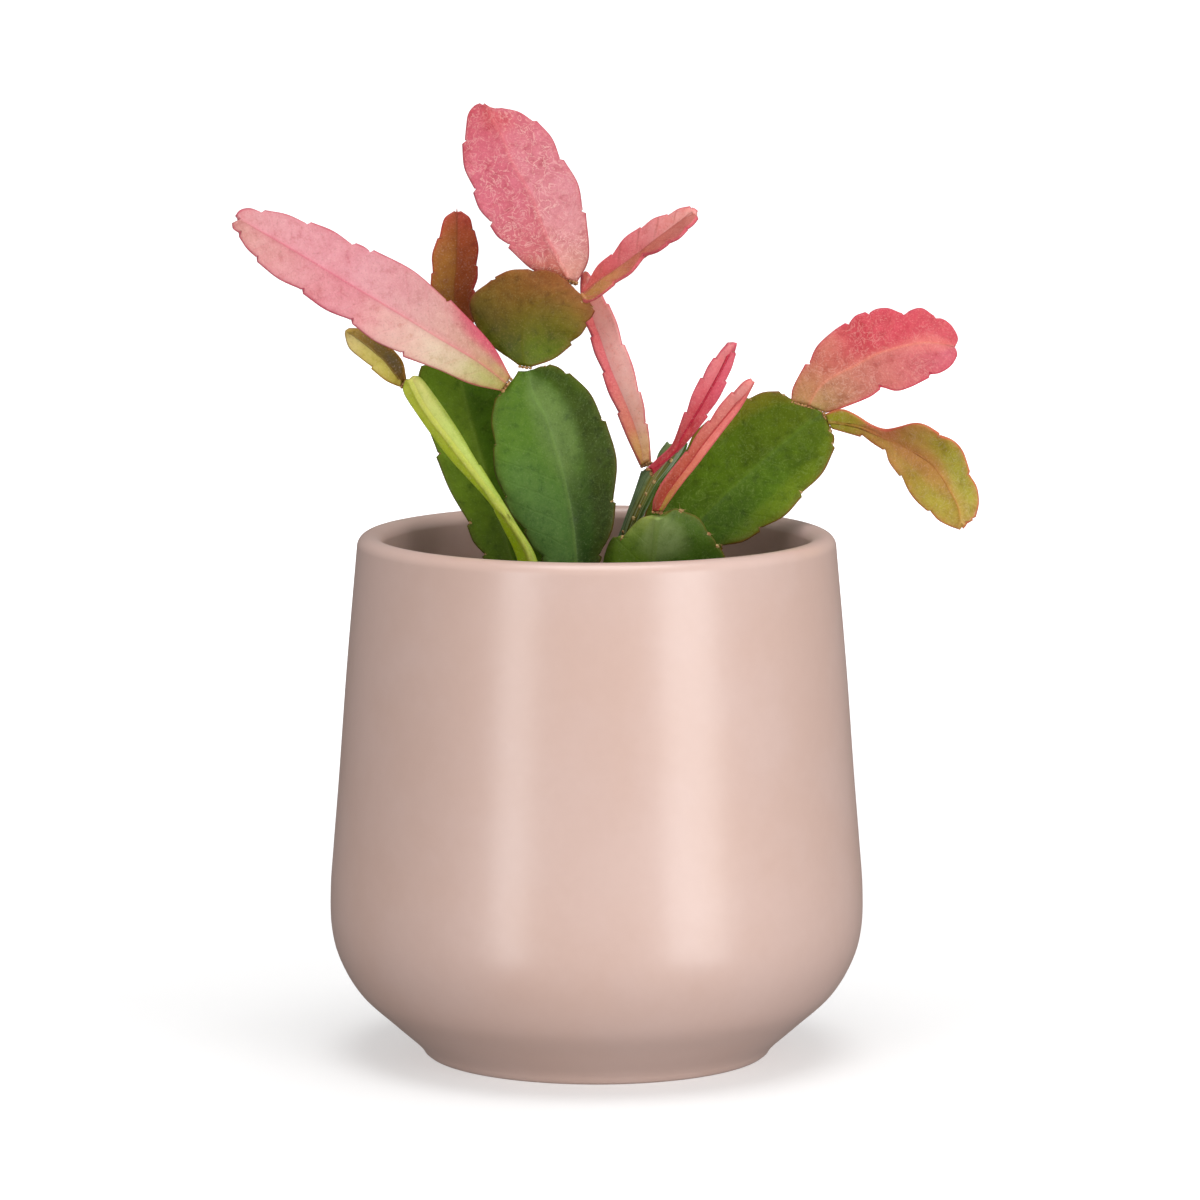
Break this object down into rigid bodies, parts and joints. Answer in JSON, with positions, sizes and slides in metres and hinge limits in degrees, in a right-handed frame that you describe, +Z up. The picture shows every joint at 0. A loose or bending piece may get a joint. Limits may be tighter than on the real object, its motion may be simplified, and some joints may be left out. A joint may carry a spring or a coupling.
{
  "type": "potted rhipsalis",
  "caption": "Rhipsalis with flat, notched pink and green stem segments jointed end to end, standing in soil in a round ceramic pot that swells towards its foot.",
  "frame": {"origin": "middle of the pot's flat underside, on the surface that the pot stands on", "axes": "+Z up along the pot's axis; the front of the plant faces -Y, and +X is to the right seen from the front"},
  "size_m": [0.1386, 0.1, 0.1771],
  "materials": {
    "pot_ceramic": "satin",
    "potting_mix": "matte",
    "segment_01_skin": "satin",
    "segment_02_skin": "satin",
    "segment_03_skin": "satin",
    "segment_04_skin": "satin",
    "segment_05_skin": "satin",
    "segment_06_skin": "satin",
    "segment_07_skin": "satin",
    "segment_08_skin": "satin",
    "segment_09_skin": "satin",
    "segment_10_skin": "satin",
    "segment_11_skin": "satin",
    "segment_12_skin": "satin",
    "segment_13_skin": "satin",
    "segment_14_skin": "satin",
    "segment_15_skin": "satin",
    "segment_16_skin": "satin",
    "segment_17_skin": "satin"
  },
  "bodies": {
    "root": {"pot": "pot_ceramic", "soil": "potting_mix", "segment_01_long_pink": "segment_01_skin", "segment_02_tall_pink": "segment_02_skin", "segment_03_small_brown": "segment_03_skin", "segment_04_olive_oval": "segment_04_skin", "segment_05_folded_pink": "segment_05_skin", "segment_06_narrow_pink": "segment_06_skin", "segment_07_front_green": "segment_07_skin", "segment_08_back_green": "segment_08_skin", "segment_09_edge_on": "segment_09_skin", "segment_10_small_olive": "segment_10_skin", "segment_11_upper_crimson": "segment_11_skin", "segment_12_lower_salmon": "segment_12_skin", "segment_13_right_green": "segment_13_skin", "segment_14_red_oval": "segment_14_skin", "segment_15_twisted_yellow": "segment_15_skin", "segment_16_low_front": "segment_16_skin", "segment_17_dark_edge_on": "segment_17_skin"}
  },
  "joints": []
}
